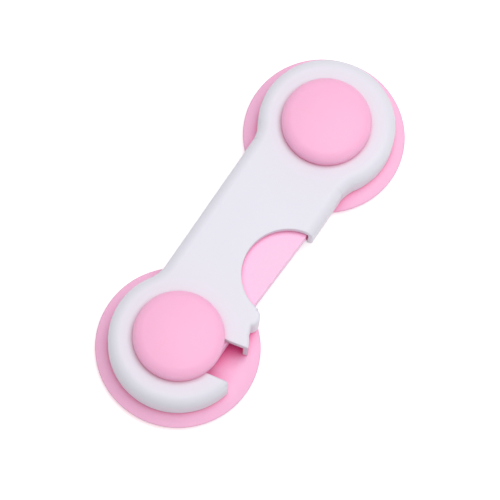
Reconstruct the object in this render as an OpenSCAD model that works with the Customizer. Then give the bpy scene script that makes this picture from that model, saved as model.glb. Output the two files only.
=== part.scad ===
// Cabinet safety lock: a white moulded arm turns on one round base and hooks over
// the stud of a second one. A sprung lever inside the arm closes the hook's mouth.
// Lengths are in millimetres. The origin is on the hinge axis, on the mounting face.
// +X runs from the hinge to the catch, +Y to the side with the press window.

/* [Layout] */
// Distance between the hinge axis and the catch axis
axis_spacing = 58.2; // [56:0.2:62]
// Clearance under and over the swinging arm
swing_gap = 0.3; // [0.2:0.05:0.4]

/* [Bases] */
// Thickness of the foam mounting pads
pad_t = 1; // [0.6:0.1:1.6]
// Width of base left bare around the pad
pad_margin = 1.5; // [1:0.1:2.5]
// Radius of each round base
base_r = 17.9; // [17:0.1:20]
// Thickness of each base at its middle
base_t = 2.1; // [2:0.1:2.6]
// Radius where the base's top starts to fall to the rim
base_flat_r = 13; // [12:0.25:14]
// Height of the rim's widest line above the base's underside
base_rim_h = 0.6; // [0.4:0.05:0.8]
// Radius of the post on each base
post_r = 3.6; // [3.5:0.05:3.8]

/* [Caps] */
// Radius of each domed cap
cap_r = 9.85; // [9.2:0.05:10.6]
// Height of a cap from its underside to its crown
cap_h = 4.3; // [4:0.1:4.6]
// Radius that rounds a cap's shoulder
cap_shoulder_r = 2.2; // [1.6:0.1:2.3]
// Rise of a cap's crown over the line where its shoulder starts
cap_crown_rise = 0.9; // [0.6:0.05:1.1]
// Wall thickness of a cap
cap_wall = 1.3; // [1.1:0.1:1.5]

/* [Arm] */
// Height of the arm from its flange's lower edge to its top
arm_h = 6.4; // [6.2:0.1:7.2]
// Width of the arm between its two ends
arm_w = 23; // [22.4:0.1:24]
// Radius of the arm's round ends
end_r = 15.1; // [14.8:0.1:16]
// Radius of the hollow curves that join the arm to its ends
blend_r = 8; // [7:0.25:9]
// Distance by which the arm's outline reaches back behind the hinge axis
outline_back = 0.5; // [0.2:0.05:0.6]
// Radius that rounds the arm's top edge
edge_round = 2.4; // [1.6:0.1:2.6]
// Radius that rounds the top edge between the window and the hook's mouth
crisp_round = 0.8; // [0.6:0.1:1]
// Wall thickness of the arm's flange
shell_wall = 1.1; // [1:0.05:1.3]
// Thickness of the arm's upper wall
roof_t = 1.5; // [1.3:0.1:1.6]
// Thickness of the plate that closes the arm from below
plate_t = 1; // [0.9:0.05:1.1]

/* [Window] */
// Radius of the half-moon window over the lever
window_r = 10.25; // [9.6:0.05:10.4]
// Distance of the window's middle from the hinge axis
window_x = 33.35; // [33:0.05:33.6]
// Distance that the window's centre lies outside the arm's flank
window_out = 0.5; // [0.3:0.05:0.8]
// Radius of the knuckle between the window and the hook
knuckle_r = 2.2; // [1.8:0.1:2.4]
// Distance by which the knuckle stands out from the arm's flank
knuckle_out = 0.8; // [0.6:0.1:1]
// Radius of the window's corner on the hinge side
prong_r = 0.5; // [0.4:0.1:0.8]

/* [Hook] */
// Clearance between the catch post and the outer wall of the hook's mouth
hook_gap = 0.3; // [0.25:0.05:0.4]
// Width of the hook's mouth
mouth_w = 8.4; // [8.2:0.1:8.6]
// Radius of the hook's rounded free tip
tip_r = 0.9; // [0.8:0.1:1.2]
// Wall thickness around the hook's seat
seat_wall = 1.1; // [0.9:0.1:1.2]

/* [Lever] */
// Thickness of the press lever
lever_t = 3.4; // [3.2:0.1:3.5]
// Angle from the arm's centre line to the lever's pivot, about the arm's round end
pivot_angle = 68.2; // [68:0.1:69]
// Radius of the lever's pivot pin
pin_r = 1.2; // [1:0.05:1.3]
// Angle that the lever turns when it is pressed fully home
press_angle = 16; // [15.8:0.1:16.4]
// Length of the tab that stops the lever behind the flange
tab_len = 3.2; // [2.6:0.1:3.6]
// Gap between the lever and the post while the latch is shut
gate_gap = 0.3; // [0.25:0.05:0.35]
// Angle by which the gate reaches past its contact with the post
gate_lap = 3.5; // [3.2:0.1:3.6]

/* [Spring] */
// Wire diameter of the return spring
wire_d = 0.5; // [0.4:0.05:0.5]
// Turns in the return spring's coil
spring_turns = 2; // [1:1:2]

/* [Screws] */
// Radius of the shank of each base's screw
screw_r = 1.5; // [1.3:0.05:1.6]
// Radius of the head of each base's screw
screw_head_r = 2.7; // [2.5:0.1:2.8]
// Height of the head of each base's screw
screw_head_h = 1.2; // [1:0.1:1.3]
// Radius of the shank of each small screw in the arm
small_screw_r = 0.9; // [0.8:0.05:1]

/* [Hidden] */
$fn = 96;
round_fn = 720;
half = 0.5;
full_turn = 360;

// Clearances and small sizes that several pieces share
cut = 1;
run_fit = 0.06;
screw_fit = 0.05;
seat_gap = 0.1;
side_gap = 0.15;
touch_gap = 0.3;
blend_seam = 0.8;
end_seam = 1.2;
nudge = 0.05;
seam_share = 0.18;
eps = 0.01;

// Levels, from the mounting face up
z_base = pad_t;
z_base_top = z_base + base_t;
z_arm = z_base_top + swing_gap;
z_arm_top = z_arm + arm_h;
z_ceiling = z_arm_top - roof_t;
z_cap = z_arm_top + swing_gap;
z_crown = z_cap + cap_h;
z_plate_top = z_arm + plate_t;

// Base screw, from its head's recess up into the cap
head_sink = 0.2;
z_head = z_base + head_sink;
z_head_top = z_head + screw_head_h;
z_screw_tip = z_crown - cap_wall - touch_gap;
spigot_r = 2.6;
spigot_len = 2;
recess_w = 0.7;
recess_len = 2.8;
recess_deep = 0.6;
cap_foot = 0.3;

// Plan of the arm
flank = arm_w * half;
knuckle_dip = 0.3;
blend_c = blend_at(0);
hook_blend_c = blend_at(knuckle_dip);
window_c = [window_x, flank + window_out];
catch_c = [axis_spacing, 0];
hook_r = mouth_w * half;
mouth_out = axis_spacing + post_r + hook_gap;
mouth_in = mouth_out - mouth_w;
seat_c = [mouth_out - hook_r, 0];

// Centre of a hollow curve that touches an end and dips into the flank by a depth
function blend_at(dip) = [
    sqrt(pow(end_r + blend_r, 2) - pow(flank + blend_r - dip, 2)),
    flank + blend_r - dip];

// Rounded corners beside the window: centre of the rounding circle
function corner_x(r, y, side) = window_c.x + side * sqrt(pow(window_r + r, 2) - pow(window_c.y - y, 2));
knuckle_y = flank + knuckle_out - knuckle_r;
knuckle_c = [corner_x(knuckle_r, knuckle_y, 1), knuckle_y];
prong_c = [corner_x(prong_r, flank - prong_r, -1), flank - prong_r];

// Rounded tip of the hook: its centre is a tip radius inside the round end and
// a tip radius outside the mouth's outer wall
tip_x = (pow(mouth_out + tip_r, 2) - pow(end_r - tip_r, 2) + pow(catch_c.x, 2)) / (2 * catch_c.x);
tip_c = [tip_x, sqrt(pow(mouth_out + tip_r, 2) - pow(tip_x, 2))];
mouth_from = 0.3;
mouth_to = 20;

// Inside of the arm
collar_wall = 2.3;
collar_r = post_r + run_fit + collar_wall;
seat_r = hook_r + seat_wall;
inner_end_r = end_r - shell_wall;
seat_from = -160;
boss_r = 2;
boss_inset = 4;
small_head_r = 1.5;
small_head_h = 0.5;
boss_reach = inner_end_r - boss_inset;
boss_back = 3.6;
end_boss_angle = -20;
tip_gap = 0.5;
screw_c = [
    [-boss_back, boss_reach],
    [-boss_back, -boss_reach],
    polar(catch_c, boss_reach, end_boss_angle)];

// Lever: pivot, gate and the line that its lower edge takes when it is pressed
lever_lift = 0.2;
z_lever = z_plate_top + lever_lift;
hub_room = 1.25;
hub_wall_gap = 0.47;
hub_r = (inner_end_r - seat_r) * half - hub_room;
pivot = polar(catch_c, inner_end_r - hub_r - hub_wall_gap, -pivot_angle);
gate_r = norm(pivot - catch_c) + post_r + gate_gap;
contact_angle = atan2(-pivot.y, catch_c.x - pivot.x);
gate_end_angle = contact_angle - gate_lap;
pocket_r = seat_r + touch_gap * 2;
gate_turn = 19;
web_angle = 60;
pressed_gap = 0.4;
edge_in_left = 1.35;
edge_in_right = 2.25;
gate_edge_in = 2.4;

// Turns a point about the pivot by an angle
function about_pivot(p, a) = pivot + [
    (p.x - pivot.x) * cos(a) - (p.y - pivot.y) * sin(a),
    (p.x - pivot.x) * sin(a) + (p.y - pivot.y) * cos(a)];
function polar(c, r, a) = c + [r * cos(a), r * sin(a)];

// Draws its children at the arm's hinge end and mirrored at its other end
module both_ends() {
    translate([-outline_back, 0, 0])
        children();
    translate(catch_c)
        mirror([1, 0, 0])
            children();
}

// Draws its children at each corner between an end and a flank
module each_corner() {
    translate([-outline_back, 0, 0])
        for (side = [0, 1])
            mirror([0, side, 0])
                let ($blend_c = blend_c, $soft = edge_round)
                    children();
    translate(catch_c)
        mirror([1, 0, 0])
            for (side = [0, 1])
                mirror([0, side, 0])
                    let ($blend_c = side == 0 ? hook_blend_c : blend_c,
                        $soft = side == 0 ? crisp_round : edge_round)
                        children();
}

// Half profile with a rounded upper corner, of half width r and height h
module round_top(r, h, soft) {
    square([r, h - soft]);
    square([r - soft, h]);
    translate([r - soft, h - soft])
        circle(r = soft);
}

// Base, with its underside at its own level and the rim falling in one arc
module base_profile() {
    fall_w = base_r - base_flat_r;
    fall_h = base_t - base_rim_h;
    fall_r = (pow(fall_w, 2) + pow(fall_h, 2)) / (2 * fall_h);
    square([base_flat_r, base_t]);
    intersection() {
        translate([base_flat_r - eps, base_rim_h - eps])
            square([fall_w + eps, fall_h + eps]);
        translate([base_flat_r, base_t - fall_r])
            circle(r = fall_r, $fn = round_fn);
    }
    polygon([[0, 0], [base_r - base_rim_h, 0], [base_r, base_rim_h], [0, base_rim_h]]);
}

module round_base() {
    difference() {
        union() {
            translate([0, 0, z_base])
                rotate_extrude()
                    base_profile();
            cylinder(r = post_r, h = z_cap);
        }
        translate([0, 0, -cut])
            cylinder(r = base_r + cut, h = cut + z_base);
        translate([0, 0, -cut])
            cylinder(r = screw_head_r + touch_gap, h = cut + z_head_top);
        cylinder(r = screw_r + screw_fit, h = z_cap);
        translate([0, 0, z_cap - spigot_len - seat_gap])
            cylinder(r = spigot_r + screw_fit, h = spigot_len + seat_gap + cut);
    }
}

module round_pad() {
    cylinder(r = base_r - pad_margin, h = pad_t);
}

// Cap profile: side wall, shoulder arc and a shallow crown that meets it smoothly
module cap_profile() {
    reach = cap_r - cap_shoulder_r;
    crown_r = (pow(reach, 2) + pow(cap_crown_rise, 2)) / (2 * cap_crown_rise) + cap_shoulder_r;
    crown_c = cap_h - crown_r;
    shoulder_y = crown_c + sqrt(pow(crown_r - cap_shoulder_r, 2) - pow(reach, 2));
    polygon([[0, 0], [cap_r - cap_foot, 0], [cap_r, cap_foot], [cap_r, shoulder_y], [0, shoulder_y]]);
    intersection() {
        translate([reach, shoulder_y])
            circle(r = cap_shoulder_r);
        square([cap_r + cut, cap_h]);
    }
    intersection() {
        translate([0, crown_c])
            circle(r = crown_r, $fn = round_fn * 4);
        translate([0, shoulder_y - eps])
            square([reach + eps, cap_h]);
    }
}

module round_cap() {
    cavity_h = cap_h - cap_wall - cap_crown_rise;
    difference() {
        union() {
            difference() {
                translate([0, 0, z_cap])
                    rotate_extrude()
                        cap_profile();
                translate([0, 0, z_cap - cut])
                    cylinder(r = cap_r - cap_wall, h = cut + cavity_h);
            }
            translate([0, 0, z_cap])
                cylinder(r = post_r, h = cap_h - cap_wall);
            translate([0, 0, z_cap - spigot_len])
                cylinder(r = spigot_r, h = spigot_len + cap_wall);
        }
        translate([0, 0, z_cap - spigot_len - cut])
            cylinder(r = screw_r + screw_fit, h = z_screw_tip - z_cap + spigot_len + cut + seat_gap);
    }
}

// Screw with a pan head at the bottom and a cross recess in it
module base_screw() {
    difference() {
        union() {
            translate([0, 0, z_head])
                cylinder(r = screw_head_r, h = screw_head_h);
            translate([0, 0, z_head])
                cylinder(r = screw_r, h = z_screw_tip - z_head);
        }
        for (a = [0, 90])
            rotate([0, 0, a])
                translate([-recess_len * half, -recess_w * half, z_head - cut])
                    cube([recess_len, recess_w, cut + recess_deep]);
    }
}

// Block of the arm's outline, drawn in by a wall
module arm_block(inset, h) {
    both_ends()
        cylinder(r = end_r - inset, h = h);
    translate([-outline_back, inset - flank, 0])
        cube([axis_spacing + outline_back, arm_w - 2 * inset, h]);
    each_corner()
        difference() {
            linear_extrude(height = h)
                blend_corner();
            translate([$blend_c.x, $blend_c.y, -cut])
                cylinder(r = blend_r + inset, h = h + 2 * cut);
        }
}

// Corner that a hollow curve is cut from, just short of where the curves touch
module blend_corner() {
    polygon([
        [0, 0],
        [$blend_c.x + end_seam, $blend_c.y],
        [$blend_c.x - blend_seam, $blend_c.y],
        [$blend_c.x - blend_seam, 0]]);
}

// Cutter of radius r whose upper edge flares to leave a rounded edge
module flared_cutter(r, h, soft) {
    rotate_extrude()
        union() {
            translate([0, -cut])
                square([r, h + 2 * cut]);
            difference() {
                translate([0, h - soft])
                    square([r + soft, soft + cut]);
                translate([r + soft, h - soft])
                    circle(r = soft);
            }
        }
}

// Solid arm, before it is hollowed
module arm_form() {
    both_ends()
        rotate_extrude()
            round_top(end_r, arm_h, edge_round);
    translate([-outline_back, 0, 0])
        rotate([90, 0, 90])
            linear_extrude(height = axis_spacing + outline_back)
                union() {
                    round_top(flank, arm_h, edge_round);
                    mirror([1, 0])
                        round_top(flank, arm_h, edge_round);
                }
    corner_post(knuckle_c, knuckle_r);
    each_corner()
        difference() {
            linear_extrude(height = arm_h)
                blend_corner();
            translate([$blend_c.x, $blend_c.y, 0])
                flared_cutter(blend_r, arm_h, $soft);
        }
    crisp_edge();
}

// Flank and round end beside the hook's mouth, whose top edge is less rounded
module crisp_edge() {
    corner_from = 45;
    corner_to = 80;
    translate([window_c.x, 0, 0])
        rotate([90, 0, 90])
            linear_extrude(height = knuckle_c.x + knuckle_r + touch_gap * 2 - window_c.x)
                round_top(flank, arm_h, crisp_round);
    translate(catch_c)
        mirror([1, 0, 0])
            intersection() {
                rotate_extrude()
                    round_top(end_r, arm_h, crisp_round);
                linear_extrude(height = arm_h)
                    polygon([
                        [0, 0],
                        polar([0, 0], end_r * 2, corner_from),
                        polar([0, 0], end_r * 2, corner_to)]);
            }
}

// Sector of a ring about the hinge axis, from r1 to r2 and between two angles
module hinge_sector(r1, r2, a1, a2, h) {
    intersection() {
        difference() {
            cylinder(r = r2, h = h, $fn = round_fn);
            translate([0, 0, -cut])
                cylinder(r = r1, h = h + 2 * cut, $fn = round_fn);
        }
        linear_extrude(height = h)
            polygon([[0, 0], polar([0, 0], r2 * 2, a1), polar([0, 0], r2 * 2, a2)]);
    }
}

// Round post that stands in a corner beside the window
module corner_post(c, r) {
    translate(c)
        rotate_extrude()
            intersection() {
                round_top(r, arm_h, min(crisp_round, r - eps));
                square([r, arm_h]);
            }
}

// Corner cut off beside the window, up to the round post that stays in it
module corner_cutter(c, r) {
    away = c.x > window_c.x ? 1 : -1;
    seam = away * r * seam_share;
    out = atan2(c.y - window_c.y, c.x - window_c.x) + asin(2 * seam / window_r);
    difference() {
        linear_extrude(height = arm_h + cut)
            polygon([
                [c.x - seam, c.y],
                [c.x - seam, c.y + r + cut],
                [window_c.x, c.y + r + cut],
                polar(window_c, window_r - r, out)]);
        corner_post(c, r);
    }
}

// Material to take off the hook's free tip
module tip_cutter() {
    hinge_touch = tip_c * mouth_out / norm(tip_c);
    end_touch = catch_c + (tip_c - catch_c) * end_r / norm(tip_c - catch_c);
    difference() {
        linear_extrude(height = arm_h + cut)
            polygon([
                tip_c,
                hinge_touch + [0, nudge],
                [mouth_out - cut - hook_r, end_r + cut],
                [tip_c.x, end_r + cut],
                end_touch - [nudge, 0]]);
        translate([tip_c.x, tip_c.y, -cut])
            cylinder(r = tip_r, h = arm_h + 3 * cut);
    }
}

module arm_shell() {
    color([0.93, 0.92, 0.95])
        difference() {
            union() {
                difference() {
                    translate([0, 0, z_arm])
                        arm_form();
                    translate([0, 0, z_arm - cut])
                        arm_block(shell_wall, z_ceiling - z_arm + cut);
                }
                arm_inside();
            }
            cylinder(r = post_r + run_fit, h = z_crown);
            translate([window_c.x, window_c.y, 0])
                cylinder(r = window_r, h = z_crown);
            translate([0, 0, z_arm]) {
                corner_cutter(knuckle_c, knuckle_r);
                corner_cutter(prong_c, prong_r);
                tip_cutter();
            }
            translate(seat_c)
                cylinder(r = hook_r, h = z_crown);
            hinge_sector(mouth_in, mouth_out, mouth_from, mouth_to, z_crown);
            for (c = screw_c)
                translate([c.x, c.y, 0])
                    cylinder(r = small_screw_r + screw_fit, h = z_ceiling);
            translate([pivot.x, pivot.y, 0])
                cylinder(r = pin_r + screw_fit, h = z_ceiling + roof_t * half);
        }
}

// Collar round the hinge post, wall round the hook's seat and bosses for the screws
module arm_inside() {
    translate([0, 0, z_arm])
        cylinder(r = collar_r, h = arm_h - roof_t * half);
    for (c = screw_c)
        translate([c.x, c.y, z_plate_top])
            cylinder(r = boss_r, h = z_arm_top - roof_t * half - z_plate_top);
    translate([0, 0, z_arm]) {
        intersection() {
            translate(seat_c)
                cylinder(r = seat_r, h = arm_h - roof_t * half);
            linear_extrude(height = arm_h)
                polygon([
                    seat_c,
                    polar(seat_c, end_r, seat_from),
                    polar(seat_c, end_r * 2, seat_from * half),
                    polar(seat_c, end_r, mouth_from * 3)]);
        }
        intersection() {
            translate(catch_c)
                cylinder(r = end_r - shell_wall * half, h = arm_h);
            hinge_sector(mouth_out - hook_gap, mouth_out + seat_wall, 0, mouth_to, arm_h - roof_t * half);
        }
    }
}

// Plate that closes the arm, stopping short of the hook and clear of the window
module arm_back_plate() {
    stop_x = window_c.x + window_r + knuckle_r * 2;
    color([0.9, 0.89, 0.92])
        difference() {
            translate([0, 0, z_arm])
                arm_block(shell_wall + side_gap, plate_t);
            cylinder(r = collar_r + side_gap, h = z_crown);
            translate([window_c.x, window_c.y, 0])
                cylinder(r = window_r + side_gap, h = z_crown);
            translate(seat_c)
                cylinder(r = seat_r + side_gap, h = z_crown);
            translate([stop_x, -hook_gap, 0])
                cube([axis_spacing + end_r, end_r + cut, z_crown]);
            translate([pivot.x, pivot.y, 0])
                cylinder(r = pin_r + screw_fit, h = z_crown);
            for (c = screw_c)
                translate([c.x, c.y, 0]) {
                    cylinder(r = small_screw_r + screw_fit, h = z_crown);
                    cylinder(r = small_head_r + side_gap, h = z_arm + small_head_h + seat_gap);
                }
        }
}

module back_plate_screws() {
    color([0.72, 0.73, 0.75])
        for (c = screw_c)
            translate([c.x, c.y, z_arm + seat_gap]) {
                cylinder(r = small_head_r, h = small_head_h);
                cylinder(r = small_screw_r, h = z_ceiling - z_arm - seat_gap - tip_gap);
            }
}

// Lever's plate, from the stop tab to the gate that closes the hook's mouth
module lever_plate() {
    tab_x = window_c.x - window_r - tab_len;
    tab_y = flank - shell_wall - touch_gap;
    edge_x = window_c.x - window_r + touch_gap * 2;
    wall_y = shell_wall - flank + pressed_gap;
    gate_out = flank - gate_edge_in;
    gate_tip = polar(pivot, gate_r, gate_end_angle);
    low_left = about_pivot([tab_x - tab_len * half, wall_y], -press_angle);
    low_right = about_pivot([window_c.x + window_r + tab_len, wall_y], -press_angle);
    difference() {
        linear_extrude(height = lever_t)
            polygon([
                [tab_x, tab_y],
                [edge_x - touch_gap, tab_y],
                [edge_x, flank - edge_in_left],
                [window_c.x + window_r, flank - edge_in_right],
                [mouth_in, gate_out],
                [gate_tip.x + touch_gap, gate_out],
                polar(pivot, gate_r - touch_gap, gate_end_angle),
                seat_c,
                polar(seat_c, hook_r, -web_angle),
                polar(pivot, hub_r * half, web_angle),
                pivot,
                pivot - [hub_r * half, hub_r * sqrt(1 - half * half)],
                low_right,
                low_left]);
        intersection() {
            translate([pivot.x, pivot.y, -cut])
                cylinder(r = gate_r, h = lever_t + 2 * cut, $fn = round_fn);
            translate([0, 0, -cut])
                linear_extrude(height = lever_t + 2 * cut)
                    polygon([
                        polar(seat_c, pocket_r, 0),
                        polar(pivot, gate_r * 2, contact_angle * half),
                        polar(pivot, gate_r * 2, contact_angle + gate_turn),
                        polar(seat_c, pocket_r, 180)]);
        }
        intersection() {
            translate([seat_c.x, seat_c.y, -cut])
                cylinder(r = pocket_r, h = lever_t + 2 * cut);
            translate([seat_c.x - pocket_r * 2, nudge - pocket_r * 4, -cut * 2])
                cube([pocket_r * 4, pocket_r * 4, lever_t + 4 * cut]);
        }
    }
}

module release_lever() {
    hub_sink = touch_gap - lever_lift + coil_h + seat_gap;
    color([1, 0.75, 0.88])
        difference() {
            translate([0, 0, z_lever]) {
                lever_plate();
                translate([pivot.x, pivot.y, 0])
                    cylinder(r = hub_r, h = lever_t);
            }
            translate([pivot.x, pivot.y, 0])
                cylinder(r = pin_r + run_fit, h = z_crown);
            translate([pivot.x, pivot.y, z_lever - cut])
                cylinder(r = hub_r + touch_gap, h = cut + hub_sink);
            translate([pivot.x, pivot.y, z_lever - cut])
                rotate([0, 0, lever_leg_angle])
                    translate([0, coil_r - wire_d, 0])
                        cube([leg_len + touch_gap, wire_d * 2, cut + wire_d * 2]);
        }
}

module lever_pivot_pin() {
    color([0.78, 0.79, 0.8])
        translate([pivot.x, pivot.y, z_arm + seat_gap])
            cylinder(r = pin_r, h = z_ceiling + roof_t * half - seat_gap * 2 - z_arm);
}

// Return spring: a coil round the pin with one leg in the lever and one on a boss
wire_sides = 6;
rings_per_turn = 12;
wire_gap = 0.08;
coil_pitch = wire_d + wire_gap;
coil_r = pin_r + run_fit + wire_d;
leg_len = 9;
lever_leg_angle = 158;
to_boss = screw_c[2] - pivot;
fixed_leg_len = norm(to_boss) + touch_gap;
boss_clear = boss_r + wire_d * half + seat_gap - coil_r;
fixed_leg_angle = atan2(to_boss.y, to_boss.x) - asin(boss_clear / norm(to_boss));
coil_from = lever_leg_angle + 90;
coil_to = fixed_leg_angle - 90 + full_turn + spring_turns * full_turn;
coil_rise = coil_pitch * (coil_to - coil_from) / full_turn;
coil_h = coil_rise + wire_d;

module return_spring() {
    z_low = z_plate_top + touch_gap + wire_d * half;
    span = coil_to - coil_from;
    rings = ceil(span * rings_per_turn / full_turn);
    path = concat(
        [polar([0, 0], coil_r, coil_from) + polar([0, 0], leg_len, coil_from - 90)],
        [for (i = [0 : rings]) polar([0, 0], coil_r, coil_from + span * i / rings)],
        [polar([0, 0], coil_r, coil_to) + polar([0, 0], fixed_leg_len, coil_to + 90)]);
    levels = concat([0], [for (i = [0 : rings]) coil_rise * i / rings], [coil_rise]);
    color([0.75, 0.76, 0.78])
        translate([pivot.x, pivot.y, z_low])
            wire_tube([for (i = [0 : len(path) - 1]) [path[i].x, path[i].y, levels[i]]]);
}

// Tube of the wire's diameter along a nearly level path
module wire_tube(path) {
    n = len(path);
    ring = [for (k = [0 : wire_sides - 1]) k * full_turn / wire_sides];
    heading = [for (i = [0 : n - 1])
        let (a = path[max(i - 1, 0)], b = path[min(i + 1, n - 1)]) atan2(b.y - a.y, b.x - a.x)];
    points = [for (i = [0 : n - 1]) for (t = ring)
        path[i] + wire_d * half * [-sin(heading[i]) * cos(t), cos(heading[i]) * cos(t), sin(t)]];
    sides = [for (i = [0 : n - 2]) for (k = [0 : wire_sides - 1])
        let (j = (k + 1) % wire_sides)
        each [[i * wire_sides + k, (i + 1) * wire_sides + k, i * wire_sides + j],
            [i * wire_sides + j, (i + 1) * wire_sides + k, (i + 1) * wire_sides + j]]];
    first = [for (k = [1 : wire_sides - 2]) [0, k, k + 1]];
    last_at = (n - 1) * wire_sides;
    last = [for (k = [1 : wire_sides - 2]) [last_at, last_at + k + 1, last_at + k]];
    polyhedron(points = points, faces = concat(sides, first, last));
}

module hinge_pad() {
    color([0.85, 0.85, 0.83])
        round_pad();
}

module hinge_base() {
    color([1, 0.74, 0.88])
        round_base();
}

module hinge_screw() {
    color([0.7, 0.71, 0.73])
        base_screw();
}

module hinge_cap() {
    color([1, 0.68, 0.84])
        round_cap();
}

module catch_pad() {
    color([0.85, 0.85, 0.83])
        translate(catch_c)
            round_pad();
}

module catch_base() {
    color([1, 0.74, 0.88])
        translate(catch_c)
            round_base();
}

module catch_screw() {
    color([0.7, 0.71, 0.73])
        translate(catch_c)
            base_screw();
}

module catch_cap() {
    color([1, 0.68, 0.84])
        translate(catch_c)
            round_cap();
}

hinge_pad();
hinge_base();
hinge_screw();
hinge_cap();
catch_pad();
catch_base();
catch_screw();
catch_cap();
arm_shell();
arm_back_plate();
back_plate_screws();
release_lever();
lever_pivot_pin();
return_spring();
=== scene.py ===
"""Studio picture of a cabinet safety lock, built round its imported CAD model.

The file is laid out as an add-on and run as a script. Every piece keeps the form of
its CAD node and gets the finish of its real material. The caps and the lever also get
rounded edges, and each cap's crown is led into its side in one curve.
"""

import math

import bpy
from mathutils import Matrix, Vector


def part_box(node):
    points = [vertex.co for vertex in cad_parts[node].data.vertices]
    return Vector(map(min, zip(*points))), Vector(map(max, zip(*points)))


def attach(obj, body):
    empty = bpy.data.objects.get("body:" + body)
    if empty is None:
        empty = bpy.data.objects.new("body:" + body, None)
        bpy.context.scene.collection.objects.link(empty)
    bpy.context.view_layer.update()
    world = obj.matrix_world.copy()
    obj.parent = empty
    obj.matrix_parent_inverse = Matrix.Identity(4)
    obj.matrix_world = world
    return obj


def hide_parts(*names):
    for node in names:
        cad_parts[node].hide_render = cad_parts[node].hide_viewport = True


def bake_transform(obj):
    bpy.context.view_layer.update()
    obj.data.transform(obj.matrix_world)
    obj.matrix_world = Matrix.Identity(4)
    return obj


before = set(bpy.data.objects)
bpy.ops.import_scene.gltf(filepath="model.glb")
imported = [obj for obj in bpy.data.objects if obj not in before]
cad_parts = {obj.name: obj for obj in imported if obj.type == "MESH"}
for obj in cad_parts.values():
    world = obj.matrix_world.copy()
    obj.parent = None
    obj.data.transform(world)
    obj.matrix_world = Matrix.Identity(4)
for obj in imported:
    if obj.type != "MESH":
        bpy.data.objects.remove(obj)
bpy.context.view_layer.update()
MM = 0.001

# A cap's shoulder in the CAD form is an arc of SHOULDER_R. Its centre lies this far
# out from the cap's axis, at the height SHOULDER_BASE. A vertex within SHOULDER_SKIN
# of the arc belongs to it.
SHOULDER_CENTRE_R = 7.65 * MM
SHOULDER_BASE = 11.3 * MM
SHOULDER_R = 2.2 * MM
SHOULDER_SKIN = 0.03 * MM

# The quarter of an ellipse that takes the shoulder's place.
EASE_START_R = 6.82 * MM
EASE_WIDTH = 3.03 * MM
EASE_HEIGHT = 2.348 * MM

# Clean-up of a CAD node's loose triangles, and where an edge counts as sharp.
WELD = 0.002 * MM
FLAT_WITHIN = math.radians(0.5)
ROUNDED_FROM = math.radians(35)
SHARP_FROM = math.radians(30)
ROUNDING_SEGMENTS = 3

# Moulded plastic. IOR and roughness are those of satin ABS. The melt's tint drifts over
# FLOW_WIDTH, down to FLOW_SHADE of the colour. GRAIN_DEPTH is the mould's erosion. Red
# light goes further under the skin than green and blue.
ABS_IOR = 1.53
SATIN = (0.45, 0.56)
FLOW_WIDTH = 14 * MM
FLOW_SHADE = 0.965
GRAIN_DEPTH = 0.012 * MM
GRAIN_STRENGTH = 0.25
SCATTER_RADIUS = (1.0, 0.4, 0.6)
SCATTER_SCALE = 0.8 * MM
NEAR_SAMPLES = 8

# How each plastic looks next to others: how far a neighbour counts for the painted
# shade, between which shares of open sky that painted shade of narrow places fades out,
# how wide the edges look softened, and how much of the light goes through the skin.
PINK_GLOW = 0.15
CAP_SKIN = {
    "reach": 3.5 * MM,
    "shade_opens": (0.0, 0.9),
    "soft_edge": 0.15 * MM,
    "glow": PINK_GLOW,
}
BASE_SKIN = {
    "reach": 7 * MM,
    "shade_opens": (0.3, 0.78),
    "soft_edge": 0.4 * MM,
    "glow": PINK_GLOW,
}
LEVER_SKIN = {
    "reach": 1.5 * MM,
    "shade_opens": (0.0, 0.8),
    "soft_edge": 0.2 * MM,
    "glow": PINK_GLOW,
}
ARM_SKIN = {"reach": 4 * MM, "shade_opens": (0.1, 0.72), "soft_edge": 0.5 * MM}
PLATE_SKIN = {"reach": 4 * MM, "shade_opens": (0.1, 0.85), "soft_edge": 0.2 * MM}

# Foam tape: a matt cut edge, lower in the middle of each cell, with painted shade
# darkening that pit.
FOAM_ROUGHNESS = 0.85
FOAM_IOR = 1.5
CELL_PAINTED_SHADE = 0.8
CELL_DEPTH = 0.1 * MM
CELL_STRENGTH = 0.6

# Steel. The streaks' pattern is scaled by STREAK_STRETCH along Z, which draws them out,
# darkens to STREAK_SHADE of the colour, and is glossier and rougher than the mean by
# STREAK_GLOSS. Each finish is a mean roughness and a streak's width. Real streaks are
# a few hundredths of a millimetre wide. They are drawn coarser, so that they show.
STREAK_STRETCH = 0.15
STREAK_SHADE = 0.85
STREAK_GLOSS = (-0.08, 0.1)
ZINC_FINISH = (0.34, 0.3 * MM)
GROUND_FINISH = (0.25, 0.2 * MM)
DRAWN_FINISH = (0.3, 0.15 * MM)

# Studio. The lamp points at AIM, the lock's middle. The floor lies a hair under the
# pads, so that their undersides don't flicker with it.
AIM = (0.03, 0, 0.005)
LAMP_PLACE = (-0.07, 0.09, 0.635)
LAMP_SIZE = 0.5
FLOOR_PLACE = (0.03, 0, -0.05 * MM)
FLOOR_SIZE = 6
FLOOR_COLOUR = "#F4F4F4"
FLOOR_ROUGHNESS = 0.9
FLOOR_GLOW = 0.45
WHITE = (1, 1, 1, 1)

# Camera, from a fit to the photograph's outlines.
CAMERA_PLACE = (208.1 * MM, 87.55 * MM, 652.54 * MM)
CAMERA_AHEAD = (-0.26013602, -0.12740033, -0.9571303)
CAMERA_UP = (-0.79499981, -0.53431818, 0.28719225)
SENSOR = 36
NEAREST = 0.01


bl_info = {
    "name": "Cabinet safety lock",
    "version": (1, 0, 0),
    "blender": (4, 5, 0),
    "location": "3D View > Sidebar > Lock",
    "description": "Dresses the packed cabinet safety lock and sets its studio",
    "category": "Object",
}


def linear(hex_colour):
    """Linear RGBA of an sRGB hex colour."""
    channels = [int(hex_colour[i : i + 2], 16) / 255 for i in (1, 3, 5)]
    return [
        c / 12.92 if c <= 0.04045 else ((c + 0.055) / 1.055) ** 2.4 for c in channels
    ] + [1.0]


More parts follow.
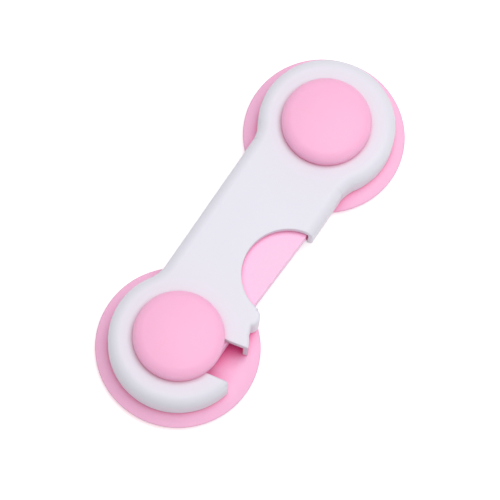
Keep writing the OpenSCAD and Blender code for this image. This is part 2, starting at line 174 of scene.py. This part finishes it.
def colour_prop(name, description, hex_colour):
    """Colour property whose default is an sRGB hex value."""
    return bpy.props.FloatVectorProperty(
        name=name,
        description=description,
        subtype="COLOR",
        size=4,
        min=0.0,
        max=1.0,
        default=linear(hex_colour),
    )


def length_prop(name, description, millimetres):
    """Length property whose default is given in millimetres."""
    return bpy.props.FloatProperty(
        name=name,
        description=description,
        subtype="DISTANCE",
        unit="LENGTH",
        precision=5,
        default=millimetres * MM,
        min=0.0,
    )


class LockColours(bpy.types.PropertyGroup):
    """Colours of the lock's pieces."""

    cap: colour_prop("Caps", "Pink of the two domed caps", "#FFB8DC")
    base: colour_prop("Bases", "Pink of the two round bases", "#FFBFE1")
    lever: colour_prop("Lever", "Pink of the press lever", "#FFC9E9")
    arm: colour_prop("Arm", "White of the moulded arm", "#E5E3ED")
    plate: colour_prop("Back plate", "White of the plate under the arm", "#E2E0EA")
    # Painted shade: the plastics turn to these colours in narrow places. They stand for
    # shade and for pink light reflected between the pieces.
    pink_painted_shade: colour_prop("Painted shade pink", "Pink plastic in narrow places", "#FF4F9F")
    white_painted_pink_shade: colour_prop("Painted pink shade on white", "White plastic close to pink", "#F47FB7")
    foam: colour_prop("Foam", "Off-white of the foam pads", "#DAD9D4")
    zinc: colour_prop("Zinc", "Grey of the plated screws", "#B9BCC2")
    steel: colour_prop("Steel", "Grey of the pin and the spring", "#C6C8CB")


class LockSizes(bpy.types.PropertyGroup):
    """Small sizes that the finish adds to the CAD forms."""

    mould_edge: length_prop("Mould edge", "Radius that softens a moulded edge", 0.18)
    foam_cell: length_prop("Foam cell", "Size of a cell in the foam pads", 0.35)
    # The real grain is about 0.1 mm wide. It is drawn coarser, so that it shows.
    grain: length_prop("Mould grain", "Spacing of the spark-eroded mould grain", 0.4)


class LockStudio(bpy.types.PropertyGroup):
    """Light and camera of the studio."""

    key_power: bpy.props.FloatProperty(
        name="Key light",
        description="Power of the large soft lamp",
        unit="POWER",
        default=2.6,
        min=0.0,
    )
    sky: bpy.props.FloatProperty(
        name="Sky",
        description="Strength of the even light all round",
        default=0.475,
        min=0.0,
    )
    lens: bpy.props.FloatProperty(
        name="Lens",
        description="Focal length on a 36 mm sensor",
        unit="CAMERA",
        default=224.34,
        min=1.0,
    )


# ---- Materials ----


def new_material(name):
    """Empty node material with a Principled shader, and both its tree and shader."""
    material = bpy.data.materials.new(name)
    material.use_nodes = True
    tree = material.node_tree
    return material, tree, tree.nodes["Principled BSDF"]


def add_node(tree, kind, settings=None, links=None):
    """Adds a node, sets its attributes and sockets, and links sockets into it."""
    node = tree.nodes.new(kind)
    for key, value in (settings or {}).items():
        if isinstance(key, str) and hasattr(node, key):
            setattr(node, key, value)
        else:
            node.inputs[key].default_value = value
    for key, source in (links or {}).items():
        tree.links.new(source, node.inputs[key])
    return node


def shaded(colour, share):
    """Darker copy of an RGBA colour."""
    return [c * share for c in colour[:3]] + [1.0]


def moulded_plastic(name, colour, painted_shade, grain, reach, shade_opens, soft_edge, glow=0.0):
    """Injection-moulded ABS: even colour, a satin skin with the mould's fine grain.

    The eye sees a broad soft highlight, faintly broken up, a colour that drifts a
    little where the melt flowed, and in narrow places a darker, pinker colour, which is
    painted shade and painted pink reflected light, set by how little open sky a point
    sees.
    """
    material, tree, shader = new_material(name)
    shader.inputs["IOR"].default_value = ABS_IOR
    shader.inputs["Subsurface Weight"].default_value = glow
    shader.inputs["Subsurface Radius"].default_value = SCATTER_RADIUS
    shader.inputs["Subsurface Scale"].default_value = SCATTER_SCALE
    place = add_node(tree, "ShaderNodeTexCoord").outputs["Object"]
    flow = add_node(
        tree,
        "ShaderNodeTexNoise",
        {"Scale": 1 / FLOW_WIDTH, "Detail": 2.0, "Roughness": 0.5},
        {"Vector": place},
    )
    tint = add_node(
        tree,
        "ShaderNodeMix",
        {"data_type": "RGBA", 6: shaded(colour, FLOW_SHADE), 7: list(colour)},
        {0: flow.outputs["Fac"]},
    )
    # Painted shade: where a point sees little open sky, its colour turns to the painted
    # shade colour.
    painted_shade_sky = add_node(
        tree,
        "ShaderNodeAmbientOcclusion",
        {"samples": NEAR_SAMPLES, "Distance": reach},
    )
    painted_shade_mask = add_node(
        tree,
        "ShaderNodeMapRange",
        {"From Min": shade_opens[0], "From Max": shade_opens[1]},
        {"Value": painted_shade_sky.outputs["AO"]},
    )
    painted_shade_mix = add_node(
        tree,
        "ShaderNodeMix",
        {"data_type": "RGBA", 6: list(painted_shade)},
        {0: painted_shade_mask.outputs["Result"], 7: tint.outputs[2]},
    )
    tree.links.new(painted_shade_mix.outputs[2], shader.inputs["Base Color"])
    erosion = add_node(
        tree,
        "ShaderNodeTexNoise",
        {"Scale": 1 / grain, "Detail": 3.0, "Roughness": 0.6},
        {"Vector": place},
    )
    worn = add_node(
        tree,
        "ShaderNodeMapRange",
        {"To Min": SATIN[0], "To Max": SATIN[1]},
        {"Value": erosion.outputs["Fac"]},
    )
    tree.links.new(worn.outputs["Result"], shader.inputs["Roughness"])
    rounded = add_node(
        tree, "ShaderNodeBevel", {"samples": NEAR_SAMPLES, "Radius": soft_edge}
    )
    relief = add_node(
        tree,
        "ShaderNodeBump",
        {"Strength": GRAIN_STRENGTH, "Distance": GRAIN_DEPTH},
        {"Height": erosion.outputs["Fac"], "Normal": rounded.outputs["Normal"]},
    )
    tree.links.new(relief.outputs["Normal"], shader.inputs["Normal"])
    return material


def closed_cell_foam(name, colour, cell):
    """Closed-cell polyethylene foam tape, die-cut.

    The eye sees a matt edge with small round cells cut open.
    """
    material, tree, shader = new_material(name)
    shader.inputs["Roughness"].default_value = FOAM_ROUGHNESS
    shader.inputs["IOR"].default_value = FOAM_IOR
    place = add_node(tree, "ShaderNodeTexCoord").outputs["Object"]
    cells = add_node(
        tree, "ShaderNodeTexVoronoi", {"Scale": 1 / cell}, {"Vector": place}
    )
    # Painted shade: each cell is darker towards its sunken middle.
    shade = add_node(
        tree,
        "ShaderNodeMix",
        {"data_type": "RGBA", 6: shaded(colour, CELL_PAINTED_SHADE), 7: list(colour)},
        {0: cells.outputs["Distance"]},
    )
    tree.links.new(shade.outputs[2], shader.inputs["Base Color"])
    relief = add_node(
        tree,
        "ShaderNodeBump",
        {"Strength": CELL_STRENGTH, "Distance": CELL_DEPTH},
        {"Height": cells.outputs["Distance"]},
    )
    tree.links.new(relief.outputs["Normal"], shader.inputs["Normal"])
    return material


def plain_steel(name, colour, roughness, streak):
    """Drawn, ground or plated steel.

    The eye sees a bright metal with fine streaks along Z, some glossier than others.
    """
    material, tree, shader = new_material(name)
    shader.inputs["Metallic"].default_value = 1.0
    place = add_node(tree, "ShaderNodeTexCoord").outputs["Object"]
    drawn = add_node(
        tree,
        "ShaderNodeMapping",
        {"Scale": (1.0, 1.0, STREAK_STRETCH)},
        {"Vector": place},
    )
    lines = add_node(
        tree,
        "ShaderNodeTexNoise",
        {"Scale": 1 / streak, "Detail": 4.0},
        {"Vector": drawn.outputs["Vector"]},
    )
    shade = add_node(
        tree,
        "ShaderNodeMix",
        {"data_type": "RGBA", 6: shaded(colour, STREAK_SHADE), 7: list(colour)},
        {0: lines.outputs["Fac"]},
    )
    tree.links.new(shade.outputs[2], shader.inputs["Base Color"])
    gloss = add_node(
        tree,
        "ShaderNodeMapRange",
        {"To Min": roughness + STREAK_GLOSS[0], "To Max": roughness + STREAK_GLOSS[1]},
        {"Value": lines.outputs["Fac"]},
    )
    tree.links.new(gloss.outputs["Result"], shader.inputs["Roughness"])
    return material


# ---- Meshes ----


def only_select(obj):
    """Makes one object the active and only selected one."""
    bpy.ops.object.select_all(action="DESELECT")
    obj.select_set(True)
    bpy.context.view_layer.objects.active = obj


def ease_shoulder(piece, centre_x):
    """Leads a cap's crown into its side in one curve, inside the CAD form."""
    for vertex in piece.data.vertices:
        out = math.hypot(vertex.co.x - centre_x, vertex.co.y)
        over, up = out - SHOULDER_CENTRE_R, vertex.co.z - SHOULDER_BASE
        off_arc = abs(math.hypot(over, up) - SHOULDER_R)
        if up > 0 and over > 0 and off_arc < SHOULDER_SKIN:
            along = min((out - EASE_START_R) / EASE_WIDTH, 1.0)
            vertex.co.z = SHOULDER_BASE + EASE_HEIGHT * math.sqrt(1.0 - along**2)


def smooth_copy(node, name, rounding, shoulder_x):
    """Merged copy of a CAD node, smoothly shaded, with its sharp edges rounded.

    Where shoulder_x is given, the node is a cap whose axis stands there.
    """
    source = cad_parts[node]
    piece = bpy.data.objects.new(name, source.data.copy())
    bpy.context.scene.collection.objects.link(piece)
    piece.data.materials.clear()
    if shoulder_x is not None:
        ease_shoulder(piece, shoulder_x)
    only_select(piece)
    bpy.ops.object.mode_set(mode="EDIT")
    bpy.ops.mesh.select_all(action="SELECT")
    bpy.ops.mesh.customdata_custom_splitnormals_clear()
    bpy.ops.mesh.remove_doubles(threshold=WELD)
    bpy.ops.mesh.dissolve_limited(angle_limit=FLAT_WITHIN)
    bpy.ops.object.mode_set(mode="OBJECT")
    if rounding > 0:
        bevel = piece.modifiers.new("moulded edge", "BEVEL")
        bevel.width = rounding
        bevel.segments = ROUNDING_SEGMENTS
        bevel.limit_method = "ANGLE"
        bevel.angle_limit = ROUNDED_FROM
        bevel.use_clamp_overlap = True
        bpy.ops.object.modifier_apply(modifier=bevel.name)
    bpy.ops.object.shade_smooth_by_angle(angle=SHARP_FROM)
    weighted = piece.modifiers.new("flat faces", "WEIGHTED_NORMAL")
    weighted.keep_sharp = True
    bpy.ops.object.modifier_apply(modifier=weighted.name)
    return piece


def dress_node(node, name, body, material, rounding=0.0, shoulder_x=None):
    """Copy that stands for one CAD node, with its material, slot and body."""
    piece = smooth_copy(node, name, rounding, shoulder_x)
    piece.data.materials.append(material)
    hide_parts(node)
    if body:
        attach(piece, body)
    return piece


# ---- Operators ----


class LOCK_OT_caps(bpy.types.Operator):
    """Finish the two domed caps"""

    bl_idname = "lock.caps"
    bl_label = "Caps"

    def execute(self, context):
        colours, sizes = context.scene.lock_colours, context.scene.lock_sizes
        pink = moulded_plastic(
            "pink ABS, satin moulded",
            colours.cap,
            colours.pink_painted_shade,
            sizes.grain,
            **CAP_SKIN,
        )
        for end in ("hinge", "catch"):
            low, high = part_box(f"{end}_cap")
            dress_node(
                f"{end}_cap",
                f"{end}_domed_cap",
                "root",
                pink,
                rounding=sizes.mould_edge,
                shoulder_x=(low.x + high.x) / 2,
            )
        return {"FINISHED"}


class LOCK_OT_bases(bpy.types.Operator):
    """Finish the two round bases and their foam pads"""

    bl_idname = "lock.bases"
    bl_label = "Bases and pads"

    def execute(self, context):
        colours, sizes = context.scene.lock_colours, context.scene.lock_sizes
        pink = moulded_plastic(
            "pale pink ABS, satin moulded",
            colours.base,
            colours.pink_painted_shade,
            sizes.grain,
            **BASE_SKIN,
        )
        foam = closed_cell_foam("foam tape, closed cell", colours.foam, sizes.foam_cell)
        for end in ("hinge", "catch"):
            dress_node(f"{end}_base", f"{end}_round_base", "root", pink)
            dress_node(f"{end}_pad", f"{end}_foam_pad", "root", foam)
        return {"FINISHED"}


class LOCK_OT_arm(bpy.types.Operator):
    """Finish the arm's moulded shell and its back plate"""

    bl_idname = "lock.arm"
    bl_label = "Arm"

    def execute(self, context):
        colours, sizes = context.scene.lock_colours, context.scene.lock_sizes
        white = moulded_plastic(
            "white ABS, satin moulded",
            colours.arm,
            colours.white_painted_pink_shade,
            sizes.grain,
            **ARM_SKIN,
        )
        inner = moulded_plastic(
            "white ABS, plain moulded",
            colours.plate,
            colours.white_painted_pink_shade,
            sizes.grain,
            **PLATE_SKIN,
        )
        dress_node("arm_shell", "arm_moulding", "arm", white)
        dress_node("arm_back_plate", "back_plate", "arm", inner)
        return {"FINISHED"}


class LOCK_OT_lever(bpy.types.Operator):
    """Finish the press lever"""

    bl_idname = "lock.lever"
    bl_label = "Press lever"

    def execute(self, context):
        colours, sizes = context.scene.lock_colours, context.scene.lock_sizes
        pink = moulded_plastic(
            "light pink ABS, satin moulded",
            colours.lever,
            colours.pink_painted_shade,
            sizes.grain,
            **LEVER_SKIN,
        )
        dress_node(
            "release_lever",
            "press_lever",
            "lever",
            pink,
            rounding=sizes.mould_edge,
        )
        return {"FINISHED"}


class LOCK_OT_fastenings(bpy.types.Operator):
    """Finish the screws, the lever's pin and its spring"""

    bl_idname = "lock.fastenings"
    bl_label = "Screws, pin and spring"

    def execute(self, context):
        colours = context.scene.lock_colours
        zinc = plain_steel("zinc-plated steel", colours.zinc, *ZINC_FINISH)
        ground = plain_steel("ground steel pin", colours.steel, *GROUND_FINISH)
        wire = plain_steel("drawn spring wire", colours.steel, *DRAWN_FINISH)
        for end in ("hinge", "catch"):
            dress_node(f"{end}_screw", f"{end}_cap_screw", "root", zinc)
        dress_node(
            "back_plate_screws", "small_plate_screws", "arm", zinc
        )
        dress_node("lever_pivot_pin", "pivot_pin", "arm", ground)
        spring = dress_node(
            "return_spring", "torsion_spring", None, wire
        )
        self.wind(spring)
        return {"FINISHED"}

    def wind(self, spring):
        """Bakes the spring's place into its mesh. The spring rides no body."""
        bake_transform(spring)


class LOCK_OT_studio(bpy.types.Operator):
    """Set the floor, the light and the camera"""

    bl_idname = "lock.studio"
    bl_label = "Studio"

    def execute(self, context):
        studio = context.scene.lock_studio
        self.floor()
        self.sky(studio.sky)
        self.lamp(studio.key_power)
        self.camera(studio.lens)
        context.scene.view_settings.view_transform = "Standard"
        return {"FINISHED"}

    def seen_directly(self, tree):
        """1 for rays that show the background itself, in the lens or a reflection."""
        path = add_node(tree, "ShaderNodeLightPath")
        glossy = add_node(
            tree,
            "ShaderNodeMath",
            {"operation": "MAXIMUM"},
            {0: path.outputs["Is Camera Ray"], 1: path.outputs["Is Glossy Ray"]},
        )
        return add_node(
            tree,
            "ShaderNodeMath",
            {"operation": "MAXIMUM"},
            {0: glossy.outputs[0], 1: path.outputs["Is Transmission Ray"]},
        ).outputs[0]

    def floor(self):
        """Large white sheet whose own light lifts it to white but keeps the shadow."""
        bpy.ops.mesh.primitive_plane_add(size=FLOOR_SIZE, location=FLOOR_PLACE)
        sheet = bpy.context.object
        sheet.name = "studio_floor"
        material, tree, shader = new_material("white paper sheet")
        shader.inputs["Base Color"].default_value = linear(FLOOR_COLOUR)
        shader.inputs["Roughness"].default_value = FLOOR_ROUGHNESS
        glow = add_node(
            tree,
            "ShaderNodeMath",
            {"operation": "MULTIPLY", 1: FLOOR_GLOW},
            {0: self.seen_directly(tree)},
        )
        shader.inputs["Emission Color"].default_value = WHITE
        tree.links.new(glow.outputs[0], shader.inputs["Emission Strength"])
        sheet.data.materials.append(material)

    def sky(self, strength):
        """Even light from all round, which the lens sees as white."""
        world = bpy.data.worlds.new("studio sky")
        world.use_nodes = True
        bpy.context.scene.world = world
        tree = world.node_tree
        background = tree.nodes["Background"]
        background.inputs["Color"].default_value = WHITE
        level = add_node(
            tree,
            "ShaderNodeMapRange",
            {"To Min": strength, "To Max": 1.0},
            {"Value": self.seen_directly(tree)},
        )
        tree.links.new(level.outputs["Result"], background.inputs["Strength"])

    def lamp(self, power):
        """Square soft lamp that points at the lock's middle."""
        bpy.ops.object.light_add(type="AREA", location=LAMP_PLACE)
        lamp = bpy.context.object
        lamp.name = "key lamp"
        lamp.data.size = LAMP_SIZE
        lamp.data.energy = power
        aim = Vector(AIM) - lamp.location
        lamp.rotation_euler = aim.to_track_quat("-Z", "Y").to_euler()

    def camera(self, lens):
        """Camera at the photograph's viewing angle."""
        ahead = Vector(CAMERA_AHEAD).normalized()
        right = ahead.cross(Vector(CAMERA_UP)).normalized()
        up = right.cross(ahead)
        turn = Matrix((right, up, -ahead)).transposed().to_4x4()
        data = bpy.data.cameras.new("photo camera")
        data.sensor_width = SENSOR
        data.lens = lens
        data.clip_start = NEAREST
        camera = bpy.data.objects.new("photo camera", data)
        camera.matrix_world = Matrix.Translation(CAMERA_PLACE) @ turn
        bpy.context.scene.collection.objects.link(camera)
        bpy.context.scene.camera = camera


class LOCK_PT_panel(bpy.types.Panel):
    """Lists the steps that dress the lock"""

    bl_label = "Cabinet safety lock"
    bl_idname = "LOCK_PT_panel"
    bl_space_type = "VIEW_3D"
    bl_region_type = "UI"
    bl_category = "Lock"

    def draw(self, context):
        for step in STEPS:
            self.layout.operator(step.bl_idname)
        for group in ("lock_colours", "lock_sizes", "lock_studio"):
            column = self.layout.column()
            owner = getattr(context.scene, group)
            for key in owner.__annotations__:
                column.prop(owner, key)


STEPS = (
    LOCK_OT_bases,
    LOCK_OT_fastenings,
    LOCK_OT_arm,
    LOCK_OT_lever,
    LOCK_OT_caps,
    LOCK_OT_studio,
)
GROUPS = {
    "lock_colours": LockColours,
    "lock_sizes": LockSizes,
    "lock_studio": LockStudio,
}


def register():
    for name, group in GROUPS.items():
        bpy.utils.register_class(group)
        setattr(bpy.types.Scene, name, bpy.props.PointerProperty(type=group))
    for step in STEPS:
        bpy.utils.register_class(step)
    bpy.utils.register_class(LOCK_PT_panel)


def unregister():
    bpy.utils.unregister_class(LOCK_PT_panel)
    for step in reversed(STEPS):
        bpy.utils.unregister_class(step)
    for name, group in GROUPS.items():
        delattr(bpy.types.Scene, name)
        bpy.utils.unregister_class(group)


def main():
    register()
    bpy.ops.lock.bases()
    bpy.ops.lock.fastenings()
    bpy.ops.lock.arm()
    bpy.ops.lock.lever()
    bpy.ops.lock.caps()
    bpy.ops.lock.studio()


if __name__ == "__main__":
    main()
